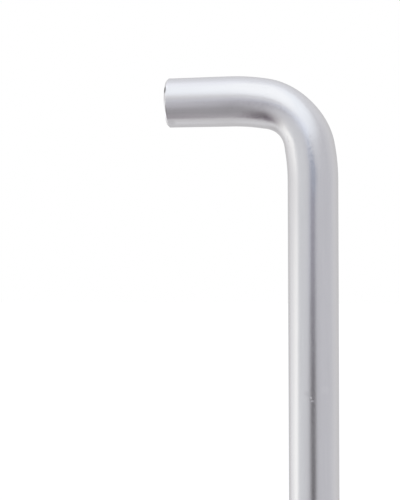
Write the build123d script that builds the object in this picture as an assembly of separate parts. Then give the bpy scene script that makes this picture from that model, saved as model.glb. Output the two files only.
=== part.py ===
from build123d import *

import os
from math import cos, radians, sin, tan

# D pull handle for a door: one round aluminium bar, bent square at both ends, with a
# tapped fixing hole in each foot. The feet stand on the plane Y = 0, the door is on
# their +Y side and the grip runs along Z at -Y. The origin is on the foot plane, midway
# between the two fixing holes. The lower half mirrors the upper half in the plane Z = 0.
# All sizes are in millimetres and all angles in degrees.

# Overall sizes
bar_diameter = 19.0
fixing_centres = 300.0  # between the axes of the two fixing holes
projection = 65.0  # from the door to the far side of the grip

# Bends, at the bar's centre line: a tight middle, eased into the straights at each end
bend_radius = 20.0
easing_radius = 75.0
easing_angle = 10.5  # turned by each of the two easings of a bend

# Bending a solid bar this tightly flattens its section a little at mid-bend
bend_thinning = 0.75  # lost from each half of the section in the plane of the bend
bend_sections = 12  # spans between the sections that shape one bend

# Feet
foot_chamfer = 0.7  # at 45 degrees, round the edge that meets the door

# Fixing holes: tapped M8, drawn at the size of the tapping drill
tapping_drill = 6.8
drilled_depth = 20.0  # at full diameter, from the foot
drill_point_angle = 118.0
countersink_diameter = 8.2
countersink_angle = 120.0

bar_radius = bar_diameter / 2
grip_setback = projection - bar_radius  # from the door to the grip's centre line
half_centres = fixing_centres / 2

# How far one bend carries the centre line along each of the two straights that it joins
easing_sine, easing_cosine = sin(radians(easing_angle)), cos(radians(easing_angle))
middle_run = bend_radius * (easing_cosine - easing_sine)
bend_run = middle_run + easing_radius * (1 + easing_sine - easing_cosine)


def bend_centre_line():
    """The centre line of the upper bend, from the end of the leg to the top of the grip."""
    leg_end = (bend_run - grip_setback, half_centres)
    with BuildLine(Plane.YZ) as line:
        lead_in = JernArc(start=leg_end, tangent=(-1, 0), radius=easing_radius, arc_size=easing_angle)
        middle = JernArc(
            start=lead_in @ 1, tangent=lead_in % 1, radius=bend_radius, arc_size=90 - 2 * easing_angle
        )
        JernArc(start=middle @ 1, tangent=middle % 1, radius=easing_radius, arc_size=easing_angle)
    return line.wire()


def bent_section(centre_line, share):
    """The bar's section at a share of the bend's length: round at its ends, oval midway."""
    heading = centre_line.tangent_at(share)
    strain = (2 * heading.Y * heading.Z) ** 2  # 0 at the bend's ends, 1 midway
    half_depth = bar_radius - bend_thinning * strain
    plane = Plane(origin=centre_line.position_at(share), x_dir=(1, 0, 0), z_dir=heading)
    return plane * Ellipse(bar_radius, half_depth)


def upper_bend():
    """The upper bend, swept along its centre line through sections that turn oval and back."""
    centre_line = bend_centre_line()
    sections = [bent_section(centre_line, n / bend_sections) for n in range(bend_sections + 1)]
    return sweep(sections, path=centre_line, multisection=True)


def upper_leg():
    """The straight leg that stands on the door, up to where its bend starts."""
    foot = Plane(origin=(0, 0, half_centres), z_dir=(0, -1, 0))
    leg = extrude(foot * Circle(bar_radius), grip_setback - bend_run)
    foot_edge = leg.edges().filter_by(GeomType.CIRCLE).sort_by(Axis.Y)[-1]
    return chamfer(foot_edge, foot_chamfer)


def grip():
    """The straight grip, between the two bends."""
    length = fixing_centres - 2 * bend_run
    bottom = Plane(origin=(0, -grip_setback, -length / 2))
    return extrude(bottom * Circle(bar_radius), length)


def fixing_hole():
    """What the drill and the countersink take out of the upper foot."""
    drill_radius = tapping_drill / 2
    mouth_radius = countersink_diameter / 2
    countersink_depth = (mouth_radius - drill_radius) / tan(radians(countersink_angle / 2))
    point_depth = drill_radius / tan(radians(drill_point_angle / 2))
    half_outline = Polyline(
        (0, 0),
        (0, mouth_radius),
        (-countersink_depth, drill_radius),
        (-drilled_depth, drill_radius),
        (-drilled_depth - point_depth, 0),
        close=True,
    )
    profile = make_face(Plane.YZ * half_outline)
    return Pos(0, 0, half_centres) * revolve(profile, Axis.Y)


def pull_handle():
    """The whole handle: the bent bar, with a fixing hole in each foot."""
    upper_end = upper_leg() + upper_bend() - fixing_hole()
    lower_end = mirror(upper_end, about=Plane.XY)
    handle = grip() + upper_end + lower_end
    handle.label = "pull_handle"
    return handle


os.makedirs("parts", exist_ok=True)
export_step(pull_handle(), "parts/pull_handle.step")
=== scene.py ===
from collections import namedtuple
from math import ceil, cos, pi, radians, sin, tan

import bmesh
import bpy
from mathutils import Matrix, Vector


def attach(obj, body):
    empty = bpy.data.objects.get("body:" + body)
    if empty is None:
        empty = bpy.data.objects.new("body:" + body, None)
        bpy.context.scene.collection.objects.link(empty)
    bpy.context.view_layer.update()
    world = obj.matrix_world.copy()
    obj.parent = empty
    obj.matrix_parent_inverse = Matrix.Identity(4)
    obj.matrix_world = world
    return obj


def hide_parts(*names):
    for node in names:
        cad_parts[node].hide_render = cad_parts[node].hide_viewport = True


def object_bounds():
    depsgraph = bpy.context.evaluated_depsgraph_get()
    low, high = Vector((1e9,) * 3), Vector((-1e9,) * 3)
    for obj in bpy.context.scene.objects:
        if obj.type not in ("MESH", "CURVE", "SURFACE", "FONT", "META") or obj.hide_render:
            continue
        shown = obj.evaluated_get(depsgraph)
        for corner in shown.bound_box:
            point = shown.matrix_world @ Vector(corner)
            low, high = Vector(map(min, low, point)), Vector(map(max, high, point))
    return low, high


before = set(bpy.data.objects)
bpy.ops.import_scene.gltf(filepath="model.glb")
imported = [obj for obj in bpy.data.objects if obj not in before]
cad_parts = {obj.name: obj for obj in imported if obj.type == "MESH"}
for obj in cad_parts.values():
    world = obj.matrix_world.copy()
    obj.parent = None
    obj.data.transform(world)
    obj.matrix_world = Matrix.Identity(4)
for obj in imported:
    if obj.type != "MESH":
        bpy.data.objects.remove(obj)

# D pull handle in satin anodised aluminium. The feet stand on the plane Y = 0, the grip
# runs along Z at -Y, and the origin is midway between the two fixing holes.
# Sizes are in metres and angles in degrees, unless a name says otherwise.

cad_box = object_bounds()

# The bar and its bends, as in the CAD handle
bar_radius = 0.0095
half_centres = 0.150
grip_setback = 0.0555
bend_radius = 0.020
easing_radius = 0.075
easing_angle = 10.5
bend_thinning = 0.00075

# The feet
foot_chamfer = 0.0007
edge_rounding = 0.00012
edge_support = 0.00008  # from a rounded edge to the rings that keep the flats beside it flat
end_easing = 0.00012  # what finishing takes off the radius at the foot
end_easing_length = 0.024
along_leg = 0.002  # a point this far up the leg gives the direction of its side

# The fixing holes: M8 threads, cut into a tapping-size hole
tapping_radius = 0.0034
thread_depth = 0.0006
thread_pitch = 0.00125
thread_length = 0.018
thread_run_out = 0.0015
groove_half_mouth, groove_half_floor = 0.375, 0.0625  # in pitches
hole_depth = 0.020
drill_point_angle = 118.0
mouth_radius = 0.0041
countersink_angle = 120.0

# How finely the mesh is cut
segments = 96
steps_per_thread = 10
bend_step = 0.0008
straight_step = 0.0045
rounding_steps = 3
face_steps = 8
drill_point_radii = (0.0004, 0.0016, 0.0028)

# The camera, found by fitting the handle's outline to the photograph
photo_width, photo_height = 400, 500
focal_pixels = 1056.2
camera_place = (-0.40004, -0.078869, 0.096104)
camera_heading = 9.462  # turned from +X towards +Y
camera_pitch = -0.388
camera_roll = 0.264
sensor_width = 36.0  # millimetres, along the picture's longer side
nearest_seen, farthest_seen = 0.01, 50.0

# The bar's centre line
easing_turn = radians(easing_angle)
tight_turn = pi / 2 - 2 * easing_turn
bend_run = bend_radius * (cos(easing_turn) - sin(easing_turn)) + easing_radius * (
    1 + sin(easing_turn) - cos(easing_turn)
)
half_grip = half_centres - bend_run
bend_length = 2 * easing_radius * easing_turn + bend_radius * tight_turn
leg_length = grip_setback - bend_run
foot_distance = half_grip + bend_length + leg_length  # along the bar, from mid-grip


def bend_arcs():
    """The three arcs of a bend, as (radius, turn), from the grip to the leg."""
    return [(easing_radius, easing_turn), (bend_radius, tight_turn), (easing_radius, easing_turn)]


def bar_axis(distance):
    """Where the centre line is at a distance along the bar from mid-grip, and its turn from the
    grip's direction: 0 on the grip, a quarter turn on the upper leg. Returns (y, z, turn)."""
    side = 1 if distance >= 0 else -1
    left = abs(distance)
    y, z, turn = -grip_setback, min(left, half_grip), 0.0
    left -= z
    for radius, whole in bend_arcs():
        part = min(max(left, 0.0) / radius, whole)
        chord = 2 * radius * sin(part / 2)
        y += chord * sin(turn + part / 2)
        z += chord * cos(turn + part / 2)
        turn += part
        left -= part * radius
    y += max(left, 0.0)
    return y, side * z, side * turn


def bent(distance, radius, angle):
    """A point of the straight bar, carried to its place on the bent one."""
    y, z, turn = bar_axis(distance)
    strain = sin(2 * turn) ** 2
    outward = radius * cos(angle) * (1 - bend_thinning / bar_radius * strain)
    return Vector((radius * sin(angle), y - outward * cos(turn), z + outward * sin(turn)))


def smooth(share):
    """An S-shaped step from 0 to 1."""
    share = min(max(share, 0.0), 1.0)
    return share * share * (3 - 2 * share)


def thread_cut(depth, turn_share):
    """How deep the thread is cut into the hole's wall, at a depth from the foot."""
    place = (depth / thread_pitch + turn_share) % 1.0
    from_groove = abs(place - 0.5)
    flank = (groove_half_mouth - from_groove) / (groove_half_mouth - groove_half_floor)
    run_out = (thread_length - depth) / thread_run_out
    return thread_depth * min(max(flank, 0.0), 1.0) * min(max(run_out, 0.0), 1.0)


def hole_radius(depth, turn_share):
    """Radius of the tapped hole at a depth from the foot, with the countersink at its mouth."""
    cone = mouth_radius - depth * tan(radians(countersink_angle / 2))
    return max(cone, tapping_radius + thread_cut(depth, turn_share))


def rounded_corner(before, corner, after, radius):
    """Points on the small arc that breaks a corner between two straight lines, with one more
    point on the line at each side."""
    before, corner, after = Vector(before), Vector(corner), Vector(after)
    back, on = (before - corner).normalized(), (after - corner).normalized()
    half = back.angle(on) / 2
    reach = radius / tan(half)
    centre = corner + (back + on).normalized() * radius / sin(half)
    start = (corner + back * reach - centre).normalized()
    end = (corner + on * reach - centre).normalized()
    points = [corner + back * (reach + edge_support)]
    for n in range(rounding_steps + 1):
        points.append(centre + radius * start.slerp(end, n / rounding_steps))
    return points + [corner + on * (reach + edge_support)]


def foot_outline():
    """The foot's section as (depth, radius) points, from the hole's mouth out to the leg's side."""
    mouth = (0.0, mouth_radius)
    inner = (0.0, bar_radius - foot_chamfer)
    outer = (foot_chamfer, bar_radius)
    side = (foot_chamfer + along_leg, bar_radius)
    face = [Vector((0.0, mouth_radius + edge_support))]
    for n in range(1, face_steps):
        face.append(Vector((0.0, mouth_radius + (inner[1] - mouth_radius) * n / face_steps)))
    inner_edge = rounded_corner(mouth, inner, outer, edge_rounding)
    outer_edge = rounded_corner(inner, outer, side, edge_rounding)
    return face + inner_edge + outer_edge


class Skin:
    """A closed skin, made ring by ring from one end to the other."""

    def __init__(self):
        self.mesh = bmesh.new()
        self.straight = self.mesh.verts.layers.float_vector.new("straight_bar")
        self.unrolled = self.mesh.loops.layers.uv.new("unrolled")
        self.last = None
        self.length = 0.0  # along the skin from its first tip

    def point(self, distance, radius, angle):
        made = self.mesh.verts.new(bent(distance, radius, angle))
        made[self.straight] = (radius * sin(angle), -radius * cos(angle), distance)
        return made

    def tip(self, distance, finish):
        """A single point that closes the skin at one of its ends."""
        self.join([self.point(distance, 0.0, 0.0)] * segments, finish)

    def ring(self, distance, radius_at, finish):
        """A ring round the bar, whose radius may change round it."""
        ring = []
        for n in range(segments):
            ring.append(self.point(distance, radius_at(n / segments), 2 * pi * n / segments))
        self.join(ring, finish)

    def join(self, ring, finish):
        """Joins a ring to the one before it. The unrolled map runs round the bar and along
        the skin."""
        last, self.last, start = self.last, ring, self.length
        if not last:
            return
        self.length += (ring[0].co - last[0].co).length / (2 * pi * bar_radius)
        for n in range(segments):
            following = (n + 1) % segments
            left, right = n / segments, (n + 1) / segments
            corners = {last[n]: (left, start), last[following]: (right, start)}
            corners[ring[following]] = (right, self.length)
            corners[ring[n]] = (left, self.length)
            face = self.mesh.faces.new(list(corners))
            face.material_index = finish
            face.smooth = True
            for loop in face.loops:
                loop[self.unrolled].uv = corners[loop.vert]


skin_finish, end_finish, bore_finish = 0, 1, 2


def upper_foot_rings():
    """Rings from the drill's point out of the hole and over the foot, as (depth, radius, finish),
    where the finish is that of the faces before the ring. The thread's rings have no set radius."""
    point_slope = tan(radians(drill_point_angle / 2))
    rings = []
    for radius in drill_point_radii:
        rings.append((hole_depth + (tapping_radius - radius) / point_slope, radius, bore_finish))
    steps = round(hole_depth / thread_pitch * steps_per_thread)
    for n in range(steps, -1, -1):
        rings.append((hole_depth * n / steps, None, bore_finish))
    for depth, radius in foot_outline():
        rings.append((depth, radius, end_finish))
    return rings


def lower_foot_rings():
    """The same rings from the leg's side into the hole, each with the finish of the faces
    before it."""
    rings = list(reversed(upper_foot_rings()))
    finishes = [skin_finish] + [finish for depth, radius, finish in rings]
    return [(depth, radius, finish) for (depth, radius, _), finish in zip(rings, finishes)]


def eased(radius, depth):
    """A radius near a foot, where finishing has taken a little more off the bar."""
    return radius * (1 - end_easing / bar_radius * smooth(1 - depth / end_easing_length))


def add_foot(skin, side, rings):
    """One foot, with its hole. side is 1 for the upper foot and -1 for the lower one."""
    for depth, radius, finish in rings:
        distance = side * (foot_distance - depth)
        if radius is None:
            skin.ring(distance, lambda share: hole_radius(depth, side * share), finish)
        elif radius < mouth_radius:
            skin.ring(distance, lambda share: radius, finish)
        else:
            skin.ring(distance, lambda share: eased(radius, depth), finish)


def side_distances():
    """Distances along the bar of the rings between the two feet, from the upper one down."""
    stretches = [
        (foot_distance - foot_chamfer, half_grip + bend_length, straight_step / 2),
        (half_grip + bend_length, half_grip, bend_step),
        (half_grip, -half_grip, straight_step),
        (-half_grip, -half_grip - bend_length, bend_step),
        (-half_grip - bend_length, foot_chamfer - foot_distance, straight_step / 2),
    ]
    distances = []
    for start, end, step in stretches:
        count = ceil((start - end) / step)
        for n in range(1, count + 1):
            distances.append(start + (end - start) * n / count)
    return distances[:-1]


def handle_mesh():
    """The whole handle as one closed skin."""
    skin = Skin()
    point_depth = hole_depth + tapping_radius / tan(radians(drill_point_angle / 2))
    skin.tip(foot_distance - point_depth, bore_finish)
    add_foot(skin, 1, upper_foot_rings())
    for distance in side_distances():
        depth = foot_distance - abs(distance)
        skin.ring(distance, lambda share: eased(bar_radius, depth), skin_finish)
    add_foot(skin, -1, lower_foot_rings())
    skin.tip(point_depth - foot_distance, bore_finish)
    bmesh.ops.recalc_face_normals(skin.mesh, faces=skin.mesh.faces)
    mesh = bpy.data.meshes.new("pull_handle_skin")
    skin.mesh.to_mesh(mesh)
    skin.mesh.free()
    return mesh


# Finishes. Colours are linear values, and heights are in micrometres.
anodised_colour = (0.65, 0.646, 0.657)
worn_colour = (0.74, 0.735, 0.74)
bore_colour = (0.5, 0.5, 0.515)
skin_roughness, end_roughness, bore_roughness, worn_roughness = 0.187, 0.3, 0.38, 0.16
edge_tint = (0.95, 0.95, 0.95)  # how the metal darkens where it turns away
brushing = 0.92  # how much wider the gloss spreads round the bar than along it
turning = 0.5  # the same on a faced end, outwards from its middle
quarter_turn = 0.25
micrometre = 1e-6

# The noise behind every grain, and how far it is spread from -1 to 1
noise_detail, noise_roughness, noise_spread = 2.0, 0.55, 4.0

# Grain: width across the bar, length along it, change of tone, change of roughness, height
Grain = namedtuple("Grain", "width length tone roughness height")
drawn_lines = Grain(0.00022, 0.025, 0.022, 0.012, 0.35)
etched_skin = Grain(0.0006, 0.0012, 0.012, 0.010, 3.5)
soft_clouds = Grain(0.006, 0.022, 0.018, 0.012, 0.0)
turned_rings = Grain(0.00011, 0.003, 0.05, 0.03, 0.8)
cut_thread = Grain(0.0004, 0.0003, 0.08, 0.05, 1.5)
bend_coarseness = 1.2  # how much rougher the etched skin gets where the bar is stretched
stretch_lead = 0.004  # how far the stretched skin reaches past each end of a bend
stretch_share = 0.3  # of a bend's length, before it is stretched in full

# Rubbed edges: how far the wear reaches from the edge, and how far it goes to bare metal
Wear = namedtuple("Wear", "width amount")
skin_wear, end_wear, mouth_wear = Wear(0.00025, 0.3), Wear(0.0002, 0.6), Wear(0.0005, 0.6)
wear_unevenness = 0.7

# Small marks of use, and painted highlights and painted dark reflections: distance along the
# bar, turn from its outer side, half width round the bar, half length along it, change of tone
# and of roughness, depth
Mark = namedtuple("Mark", "along turn half_width half_length tone roughness depth")
mark_outside, mark_inside = 1.35, 0.55  # where a mark ends and where it is full, in half sizes
skin_marks = {
    "nick_upper_lip": Mark(0.03868, -92.6, 0.00045, 0.00050, 0.25, 0.05, -2.0),
    "nick_floor": Mark(0.03806, -91.6, 0.00055, 0.00035, -0.35, 0.10, 4.0),
    "nick_lower_lip": Mark(0.03754, -89.6, 0.00070, 0.00040, 0.28, 0.05, -2.0),
    "upper_flake": Mark(0.03935, -108.0, 0.00030, 0.00030, 0.06, 0.03, 1.0),
    "lower_flake": Mark(0.03805, -108.0, 0.00030, 0.00030, 0.06, 0.03, 1.0),
    "rubbed_patch": Mark(0.04165, -61.5, 0.00180, 0.00150, 0.03, 0.02, 0.0),
    "soft_stain": Mark(0.04005, -101.0, 0.00150, 0.00100, -0.04, 0.02, 0.0),
    "first_speck": Mark(0.13910, -136.8, 0.00025, 0.00030, -0.18, 0.08, 2.0),
    "second_speck": Mark(0.13650, -138.6, 0.00028, 0.00030, -0.20, 0.08, 2.0),
    "third_speck": Mark(0.13800, -140.0, 0.00022, 0.00025, -0.14, 0.08, 1.5),
    "faint_speck": Mark(0.13960, -116.5, 0.00025, 0.00025, 0.05, 0.04, 0.0),
    # A painted highlight on the skin beside the upper foot's chamfer, a little smoother too.
    "rim_glint": Mark(0.19440, -57.0, 0.00070, 0.00045, 0.10, -0.03, 0.0),
    "foot_smear": Mark(0.19300, -150.0, 0.00150, 0.00160, -0.06, 0.05, 0.5),
    # Painted dark reflections on the skin along the upper foot's chamfer, a little rougher too.
    "dark_reflection_under_chamfer": Mark(0.19443, -117.5, 0.00200, 0.00028, -0.58, 0.10, 0.0),
    "dark_reflection_above_chamfer": Mark(0.19445, -67.0, 0.00120, 0.00022, -0.45, 0.10, 0.0),
}
foot_marks = {
    # Painted dark reflections on the upper foot's chamfer, a little rougher too.
    "upper_dark_reflection": Mark(0.19500, -63.5, 0.00155, 0.00090, -0.82, 0.10, 0.0),
    "lower_dark_reflection": Mark(0.19452, -110.5, 0.00200, 0.00028, -0.95, 0.10, 0.0),
    # A painted highlight across the upper foot's chamfer, a little smoother too.
    "painted_chamfer_highlight": Mark(0.19515, -125.0, 0.00480, 0.00120, 0.45, -0.05, 0.0),
}


def node(tree, kind, **settings):
    made = tree.nodes.new(kind)
    for name, value in settings.items():
        setattr(made, name, value)
    return made


def connect(tree, value, socket):
    """Links an output to a socket, or sets a plain value on it."""
    if isinstance(value, bpy.types.NodeSocket):
        tree.links.new(value, socket)
    else:
        socket.default_value = value


def calculate(tree, operation, *values):
    made = node(tree, "ShaderNodeMath", operation=operation)
    for value, socket in zip(values, made.inputs):
        connect(tree, value, socket)
    return made.outputs[0]


def vector(tree, operation, *values):
    made = node(tree, "ShaderNodeVectorMath", operation=operation)
    for value, socket in zip(values, made.inputs):
        connect(tree, value, socket)
    return made.outputs["Value" if operation == "LENGTH" else "Vector"]


def split(tree, place):
    parts = node(tree, "ShaderNodeSeparateXYZ")
    connect(tree, place, parts.inputs[0])
    return parts.outputs


def combine(tree, *values):
    made = node(tree, "ShaderNodeCombineXYZ")
    for value, socket in zip(values, made.inputs):
        connect(tree, value, socket)
    return made.outputs[0]


def soft_step(tree, value, low, high):
    """A smooth step from 0 at low to 1 at high."""
    made = node(tree, "ShaderNodeMapRange", interpolation_type="SMOOTHSTEP", clamp=True)
    connect(tree, value, made.inputs["Value"])
    connect(tree, low, made.inputs["From Min"])
    connect(tree, high, made.inputs["From Max"])
    return made.outputs["Result"]


def mix_colour(tree, factor, one, other):
    made = node(tree, "ShaderNodeMix", data_type="RGBA")
    connect(tree, factor, made.inputs["Factor"])
    for value, name in ((one, "A"), (other, "B")):
        socket = next(s for s in made.inputs if s.name == name and s.type == "RGBA")
        connect(tree, (*value, 1) if isinstance(value, tuple) else value, socket)
    return next(s for s in made.outputs if s.type == "RGBA")


def new_group(name, inputs, output):
    """A shader node group with named inputs and one value as its output."""
    group = bpy.data.node_groups.new(name, "ShaderNodeTree")
    for title, value in inputs.items():
        kind = "NodeSocketVector" if isinstance(value, tuple) else "NodeSocketFloat"
        made = group.interface.new_socket(name=title, in_out="INPUT", socket_type=kind)
        made.default_value = value
    group.interface.new_socket(name=output, in_out="OUTPUT", socket_type="NodeSocketFloat")
    given = node(group, "NodeGroupInput").outputs
    result = node(group, "NodeGroupOutput").inputs[output]
    return group, given, result


def add_group(tree, group, inputs):
    """Places a group in a material, with its own values."""
    made = node(tree, "ShaderNodeGroup", node_tree=group)
    for title, value in inputs.items():
        connect(tree, value, made.inputs[title])
    return made.outputs[0]


def make_grain():
    """Irregular marks from -1 to 1, of one size across the bar and another along it."""
    group, given, result = new_group(
        "metal_grain", {"Place": (0.0, 0.0, 0.0), "Width": 0.001, "Length": 0.001}, "Grain"
    )
    size = combine(group, given["Width"], given["Width"], given["Length"])
    noise = node(group, "ShaderNodeTexNoise", noise_dimensions="3D")
    noise.inputs["Scale"].default_value = 1.0
    noise.inputs["Detail"].default_value = noise_detail
    noise.inputs["Roughness"].default_value = noise_roughness
    connect(group, vector(group, "DIVIDE", given["Place"], size), noise.inputs["Vector"])
    value = noise.outputs["Fac"]
    connect(group, calculate(group, "MULTIPLY_ADD", value, noise_spread, -noise_spread / 2), result)
    return group


def make_mark():
    """1 inside a small soft-edged spot of the surface, 0 outside it."""
    group, given, result = new_group(
        "small_mark",
        {
            "Place": (0.0, 0.0, 0.0),
            "Centre": (0.0, 0.0, 0.0),
            "Half Width": 0.001,
            "Half Length": 0.001,
        },
        "Mark",
    )
    size = combine(group, given["Half Width"], given["Half Width"], given["Half Length"])
    from_centre = vector(group, "SUBTRACT", given["Place"], given["Centre"])
    away = vector(group, "LENGTH", vector(group, "DIVIDE", from_centre, size))
    connect(group, soft_step(group, away, mark_outside, mark_inside), result)
    return group


def make_edge_wear():
    """1 on an edge that hands and fitting have rubbed, fading out unevenly beside it."""
    group, given, result = new_group(
        "edge_wear", {"From Edge": 0.0, "Width": 0.001, "Uneven": 0.0}, "Wear"
    )
    stretch = calculate(group, "MULTIPLY_ADD", given["Uneven"], wear_unevenness, 1.0)
    reach = calculate(group, "MULTIPLY", given["Width"], stretch)
    connect(group, soft_step(group, given["From Edge"], reach, 0.0), result)
    return group


grain_group, mark_group, wear_group = make_grain(), make_mark(), make_edge_wear()


class Finish:
    """A metal finish whose tone, roughness and height are added up from grain, marks and wear."""

    def __init__(self, name):
        self.material = bpy.data.materials.new(name)
        self.material.use_nodes = True
        self.tree = self.material.node_tree
        self.shader = self.tree.nodes["Principled BSDF"]
        self.shader.inputs["Metallic"].default_value = 1
        self.shader.inputs["Specular Tint"].default_value = (*edge_tint, 1)
        round_the_bar = node(
            self.tree, "ShaderNodeTangent", direction_type="UV_MAP", uv_map="unrolled"
        )
        connect(self.tree, round_the_bar.outputs[0], self.shader.inputs["Tangent"])
        straight_bar = node(self.tree, "ShaderNodeAttribute", attribute_name="straight_bar")
        self.place = straight_bar.outputs["Vector"]
        self.tone, self.roughness, self.height = [], [], []
        self.across, outward, along = split(self.tree, self.place)
        self.radius = vector(self.tree, "LENGTH", combine(self.tree, self.across, outward, 0.0))
        from_middle = calculate(self.tree, "ABSOLUTE", along)
        self.depth = calculate(self.tree, "SUBTRACT", foot_distance, from_middle)

    def grain(self, kind, place, strength=1.0):
        """Adds a grain and gives back its value."""
        sizes = {"Place": place, "Width": kind.width, "Length": kind.length}
        value = calculate(self.tree, "MULTIPLY", add_group(self.tree, grain_group, sizes), strength)
        self.add(value, kind.tone, kind.roughness, kind.height)
        return value

    def mark(self, kind):
        """Adds a small mark at its place on the bar's side."""
        turn = radians(kind.turn)
        centre = (bar_radius * sin(turn), -bar_radius * cos(turn), kind.along)
        sizes = {
            "Place": self.place,
            "Centre": centre,
            "Half Width": kind.half_width,
            "Half Length": kind.half_length,
        }
        value = add_group(self.tree, mark_group, sizes)
        self.add(value, kind.tone, kind.roughness, -kind.depth)

    def add(self, value, tone, roughness, height):
        for total, share in ((self.tone, tone), (self.roughness, roughness), (self.height, height)):
            if share:
                total.append(calculate(self.tree, "MULTIPLY", value, share))

    def total(self, start, values):
        for value in values:
            start = calculate(self.tree, "ADD", start, value)
        return start

    def finish(self, colour, roughness, wear):
        """Joins everything to the shader. wear is a mask of bare, rubbed metal."""
        tree = self.tree
        toned = vector(tree, "SCALE", colour)
        connect(tree, self.total(1.0, self.tone), toned.node.inputs["Scale"])
        connect(tree, mix_colour(tree, wear, toned, worn_colour), self.shader.inputs["Base Color"])
        rough = self.total(roughness, self.roughness)
        smoother = calculate(tree, "SUBTRACT", worn_roughness, rough)
        to_worn = calculate(tree, "MULTIPLY", wear, smoother)
        connect(tree, calculate(tree, "ADD", rough, to_worn), self.shader.inputs["Roughness"])
        bump = node(tree, "ShaderNodeBump")
        bump.inputs["Strength"].default_value = 1.0
        bump.inputs["Distance"].default_value = micrometre
        connect(tree, self.total(0.0, self.height), bump.inputs["Height"])
        connect(tree, bump.outputs[0], self.shader.inputs["Normal"])
        return self.material


def rubbed(finish, from_edge, uneven, wear):
    """How far the edge wear goes towards bare metal, on one finish."""
    inputs = {"From Edge": from_edge, "Width": wear.width, "Uneven": uneven}
    worn = add_group(finish.tree, wear_group, inputs)
    return calculate(finish.tree, "MULTIPLY", worn, wear.amount)


def anodised_skin():
    """The side of the bar, brushed along its length, etched and anodised."""
    finish = Finish("satin_anodised_skin")
    finish.shader.inputs["Anisotropic"].default_value = brushing
    along = calculate(finish.tree, "SUBTRACT", foot_distance, finish.depth)
    bend_end, ramp = half_grip + bend_length, bend_length * stretch_share
    into_bend = soft_step(finish.tree, along, half_grip - stretch_lead, half_grip + ramp)
    out_of_bend = soft_step(finish.tree, along, bend_end + stretch_lead, bend_end - ramp)
    stretched = calculate(finish.tree, "MULTIPLY", into_bend, out_of_bend)
    coarseness = calculate(finish.tree, "MULTIPLY_ADD", stretched, bend_coarseness, 1.0)
    finish.grain(drawn_lines, finish.place)
    finish.grain(etched_skin, finish.place, coarseness)
    clouds = finish.grain(soft_clouds, finish.place)
    for mark in skin_marks.values():
        finish.mark(mark)
    from_edge = calculate(finish.tree, "SUBTRACT", finish.depth, foot_chamfer)
    wear = rubbed(finish, from_edge, clouds, skin_wear)
    return finish.finish(anodised_colour, skin_roughness, wear)


def turned_end():
    """The faced end of a foot and its chamfer, with the rings that the cutting tool left."""
    finish = Finish("faced_end")
    finish.shader.inputs["Anisotropic"].default_value = turning
    finish.shader.inputs["Anisotropic Rotation"].default_value = quarter_turn
    tree = finish.tree
    rings = combine(tree, finish.radius, 0.0, finish.across)
    finish.grain(turned_rings, rings)
    clouds = finish.grain(soft_clouds, finish.place)
    # The foot's marks are painted dark reflections and a painted highlight on its chamfer.
    for mark in foot_marks.values():
        finish.mark(mark)
    edges = [
        calculate(tree, "ABSOLUTE", calculate(tree, "SUBTRACT", finish.radius, edge))
        for edge in (bar_radius - end_easing, bar_radius - end_easing - foot_chamfer, mouth_radius)
    ]
    nearest = calculate(tree, "MINIMUM", calculate(tree, "MINIMUM", edges[0], edges[1]), edges[2])
    wear = rubbed(finish, nearest, clouds, end_wear)
    return finish.finish(anodised_colour, end_roughness, wear)


def tapped_bore():
    """The drilled and tapped hole, a little darker, and rubbed bright at its mouth."""
    finish = Finish("tapped_bore")
    cut = finish.grain(cut_thread, finish.place)
    wear = rubbed(finish, finish.depth, cut, mouth_wear)
    return finish.finish(bore_colour, bore_roughness, wear)


handle = bpy.data.objects.new("bent_bar", handle_mesh())
bpy.context.scene.collection.objects.link(handle)
for finish in (anodised_skin(), turned_end(), tapped_bore()):
    handle.data.materials.append(finish)
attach(handle, "root")
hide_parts("pull_handle")


# The studio. Azimuths run from -X, where the camera stands, towards -Y, and elevations up
# from the horizon, in degrees. Colours are linear, and 1 is the white of the background.
tent_low, tent_high = (1.00, 0.99, 1.00), (1.36, 1.39, 1.48)
tent_turnover, tent_spread = 55.9, 98.7
tent_behind = 0.82  # the tent's share of light behind the handle
behind_starts, behind_full = 90.0, 150.0

# Soft-edged panels in the tent. Higher up, a panel's middle moves over by its lean and its
# half width grows by its flare, both in degrees for each degree of elevation.
Panel = namedtuple(
    "Panel", "azimuth elevation half_width half_height side_edge end_edge lean flare colour"
)
light_panels = {
    "overhead_softbox": Panel(29.5, 16.9, 21.5, 55.1, 13.0, 3.4, -0.38, 1.29, (1.29, 1.34, 1.40)),
    "left_strip": Panel(-84.2, -27.8, 19.9, 32.1, 80.0, 17.9, 0.34, -0.54, (1.81, 1.82, 1.77)),
    "low_wall": Panel(11.7, -8.2, 83.9, 17.6, 7.6, 20.7, 0.43, 0.11, (0.88, 0.89, 0.92)),
    "table_front": Panel(-62.4, -68.0, 33.5, 24.2, 80.0, 60.0, -0.47, 1.22, (0.11, 0.07, 0.11)),
    "right_wall": Panel(75.8, 23.2, 31.1, 53.8, 74.1, 49.5, 0.89, -0.80, (0.76, 0.76, 0.80)),
    "table_edge": Panel(-41.9, -63.5, 4.2, 17.6, 33.1, 59.9, 1.80, 0.89, (0.02, 0.00, 0.01)),
    "top_light": Panel(9.8, 42.5, 19.9, 60.0, 14.8, 27.4, 0.17, 0.80, (1.40, 1.43, 1.46)),
    "lens_gap": Panel(-4.8, 5.1, 4.0, 6.1, 7.5, 17.9, 1.63, 0.33, (1.77, 1.93, 2.21)),
    "leg_shade": Panel(-6.5, -15.7, 4.0, 30.5, 41.3, 29.6, 0.00, -0.01, (0.50, 0.48, 0.52)),
    "under_leg": Panel(-140.0, -59.0, 23.0, 9.0, 14.0, 14.0, 0.00, 0.00, (0.97, 0.97, 0.99)),
    "behind_left": Panel(-116.0, -30.0, 7.0, 30.0, 10.0, 20.0, 0.00, 0.00, (1.16, 1.16, 1.18)),
    "leg_glow": Panel(0.1, -56.8, 22.3, 28.6, 3.3, 9.4, 0.03, -0.28, (0.47, 0.46, 0.48)),
}

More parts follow.
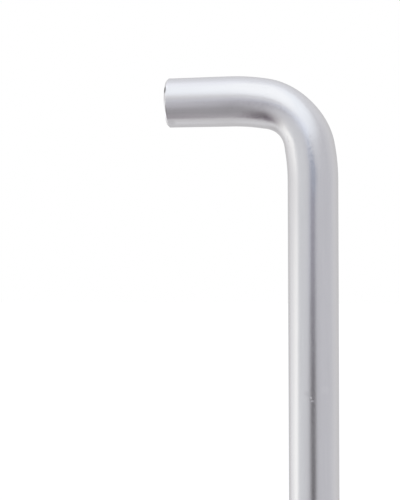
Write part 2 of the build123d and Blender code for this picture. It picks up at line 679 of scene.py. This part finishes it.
# The dark card that the camera looks out from, in metres
card_plane = -0.430
card_sheet = (-1.2, 1.2, -6.0, 0.3)  # left, right, lowest and highest edge of the whole sheet
card_middle, card_half_width, card_side_edge = -0.0667, 0.086, 0.015
card_top, card_top_edge, card_fade = 0.156, 0.023, 0.2085
card_top_colour, card_low_colour = (0.39, 0.38, 0.45), (0.15, 0.14, 0.15)
card_lean = -0.04
lens_patch_place = (-0.1003, 0.1552)
lens_patch_size, lens_patch_edge = (0.106, 0.024), 0.32
lens_patch_colour = (0.46, 0.50, 0.60)

# The floor
floor_gap = 0.0002
floor_half_width = 4.0
floor_colour = (0.5, 0.5, 0.5)
floor_glow = 0.5


def inside(tree, away, limit, edge):
    """1 where a distance from the middle is within a limit, with a soft edge across it."""
    outer = calculate(tree, "ADD", limit, edge / 2)
    inner = calculate(tree, "SUBTRACT", limit, edge / 2)
    return soft_step(tree, away, outer, inner)


def panel_mask(tree, azimuth, elevation, panel):
    """1 inside a soft-edged panel of light, 0 outside it."""
    up = calculate(tree, "SUBTRACT", elevation, panel.elevation)
    turned = calculate(tree, "SUBTRACT", azimuth, panel.azimuth)
    turned = calculate(tree, "WRAP", turned, 180.0, -180.0)
    aside = calculate(tree, "ABSOLUTE", calculate(tree, "MULTIPLY_ADD", up, -panel.lean, turned))
    half_width = calculate(tree, "MULTIPLY_ADD", up, panel.flare, panel.half_width)
    across = inside(tree, aside, half_width, panel.side_edge)
    level_with = inside(tree, calculate(tree, "ABSOLUTE", up), panel.half_height, panel.end_edge)
    return calculate(tree, "MULTIPLY", across, level_with)


def light_the_studio():
    """A white tent with panels of light and shade in it. The camera sees plain white behind the
    handle, and the metal shows the tent."""
    world = bpy.data.worlds.new("studio")
    bpy.context.scene.world = world
    world.use_nodes = True
    tree = world.node_tree
    tree.nodes.clear()
    x, y, z = split(tree, node(tree, "ShaderNodeTexCoord").outputs["Generated"])
    towards_camera = calculate(tree, "MULTIPLY", x, -1.0)
    to_the_right = calculate(tree, "MULTIPLY", y, -1.0)
    azimuth = calculate(tree, "DEGREES", calculate(tree, "ARCTAN2", to_the_right, towards_camera))
    elevation = calculate(tree, "DEGREES", calculate(tree, "ARCSINE", z))
    half_spread = tent_spread / 2
    rise = soft_step(tree, elevation, tent_turnover - half_spread, tent_turnover + half_spread)
    from_front = calculate(tree, "ABSOLUTE", azimuth)
    behind = soft_step(tree, from_front, behind_starts, behind_full)
    dimming = calculate(tree, "MULTIPLY_ADD", behind, tent_behind - 1, 1.0)
    colour = vector(tree, "SCALE", mix_colour(tree, rise, tent_low, tent_high))
    connect(tree, dimming, colour.node.inputs["Scale"])
    for panel in light_panels.values():
        colour = mix_colour(tree, panel_mask(tree, azimuth, elevation, panel), colour, panel.colour)
    rays = node(tree, "ShaderNodeLightPath")
    straight_through = calculate(
        tree, "MAXIMUM", rays.outputs["Is Camera Ray"], rays.outputs["Is Transmission Ray"]
    )
    seen = mix_colour(tree, straight_through, colour, (1.0, 1.0, 1.0))
    studio = node(tree, "ShaderNodeBackground")
    connect(tree, seen, studio.inputs["Color"])
    out = node(tree, "ShaderNodeOutputWorld")
    connect(tree, studio.outputs[0], out.inputs["Surface"])


def flat_sheet(name, corners, material):
    """A flat piece of the studio, which isn't part of the handle."""
    mesh = bpy.data.meshes.new(name)
    mesh.from_pydata(corners, [], [(0, 1, 2, 3)])
    mesh.materials.append(material)
    sheet = bpy.data.objects.new(name, mesh)
    bpy.context.scene.collection.objects.link(sheet)
    return sheet


def bare_material(name):
    """A material without nodes yet, with its node tree."""
    material = bpy.data.materials.new(name)
    material.use_nodes = True
    material.node_tree.nodes.clear()
    return material, material.node_tree


def glow_of(tree, colour, strength=1.0):
    made = node(tree, "ShaderNodeEmission")
    connect(tree, (*colour, 1) if isinstance(colour, tuple) else colour, made.inputs["Color"])
    connect(tree, strength, made.inputs["Strength"])
    return made.outputs[0]


def mix_shader(tree, factor, one, other):
    made = node(tree, "ShaderNodeMixShader")
    for value, socket in zip((factor, one, other), made.inputs):
        connect(tree, value, socket)
    return made.outputs[0]


def output_surface(tree, shader):
    connect(tree, shader, node(tree, "ShaderNodeOutputMaterial").inputs["Surface"])


def add_dark_card():
    """The dark side of the studio, round the camera, which only the metal's gloss shows."""
    material, tree = bare_material("dark_card")
    x, y, z = split(tree, node(tree, "ShaderNodeTexCoord").outputs["Object"])
    up = calculate(tree, "SUBTRACT", z, camera_place[2])
    upright = calculate(tree, "MULTIPLY_ADD", up, -card_lean, y)
    aside = calculate(tree, "SUBTRACT", upright, card_middle)
    across = inside(tree, calculate(tree, "ABSOLUTE", aside), card_half_width, card_side_edge)
    below = inside(tree, z, card_top, card_top_edge)
    fade = soft_step(tree, z, card_top, card_top - card_fade)
    colour = mix_colour(tree, fade, card_top_colour, card_low_colour)
    from_patch = vector(tree, "SUBTRACT", combine(tree, y, z, 0.0), (*lens_patch_place, 0.0))
    from_patch = vector(tree, "DIVIDE", from_patch, (*lens_patch_size, 1.0))
    patch = inside(tree, vector(tree, "LENGTH", from_patch), 1.0, lens_patch_edge)
    colour = mix_colour(tree, patch, colour, lens_patch_colour)
    mask = calculate(tree, "MAXIMUM", calculate(tree, "MULTIPLY", across, below), patch)
    clear = node(tree, "ShaderNodeBsdfTransparent").outputs[0]
    output_surface(tree, mix_shader(tree, mask, clear, glow_of(tree, colour)))
    left, right, low, high = card_sheet
    corners = [(left, low), (right, low), (right, high), (left, high)]
    card = flat_sheet("dark_card", [(card_plane, *corner) for corner in corners], material)
    card.visible_camera = False
    card.visible_diffuse = False
    card.visible_shadow = False
    card.visible_transmission = False


def lay_floor():
    """A pale floor under the handle, white to the camera except in the handle's soft shadow.
    The metal shows the tent through it."""
    material, tree = bare_material("pale_floor")
    rays = node(tree, "ShaderNodeLightPath").outputs
    matt = node(tree, "ShaderNodeBsdfDiffuse")
    matt.inputs["Color"].default_value = (*floor_colour, 1)
    strength = calculate(tree, "MULTIPLY", rays["Is Camera Ray"], floor_glow)
    glow = glow_of(tree, (1.0, 1.0, 1.0), strength)
    lit = node(tree, "ShaderNodeAddShader")
    connect(tree, matt.outputs[0], lit.inputs[0])
    connect(tree, glow, lit.inputs[1])
    clear = node(tree, "ShaderNodeBsdfTransparent").outputs[0]
    output_surface(tree, mix_shader(tree, rays["Is Glossy Ray"], lit.outputs[0], clear))
    half, height = floor_half_width, cad_box[0][2] - floor_gap
    corners = [(-half, -half), (half, -half), (half, half), (-half, half)]
    flat_sheet("pale_floor", [(*corner, height) for corner in corners], material)


def place_camera():
    """The camera, at the photograph's viewing angle."""
    heading, pitch, roll = radians(camera_heading), radians(camera_pitch), radians(camera_roll)
    ahead = Vector((cos(pitch) * cos(heading), cos(pitch) * sin(heading), sin(pitch)))
    level_right = ahead.cross(Vector((0, 0, 1))).normalized()
    level_down = ahead.cross(level_right)
    right = cos(roll) * level_right + sin(roll) * level_down
    down = cos(roll) * level_down - sin(roll) * level_right
    turned = Matrix((right, -down, -ahead)).transposed().to_4x4()
    lens = bpy.data.cameras.new("camera")
    lens.sensor_width = sensor_width
    lens.lens = focal_pixels * sensor_width / max(photo_width, photo_height)
    lens.clip_start, lens.clip_end = nearest_seen, farthest_seen
    camera = bpy.data.objects.new("camera", lens)
    camera.matrix_world = Matrix.Translation(camera_place) @ turned
    bpy.context.scene.collection.objects.link(camera)
    bpy.context.scene.camera = camera


place_camera()
light_the_studio()
add_dark_card()
lay_floor()
bpy.context.scene.view_settings.view_transform = "Standard"
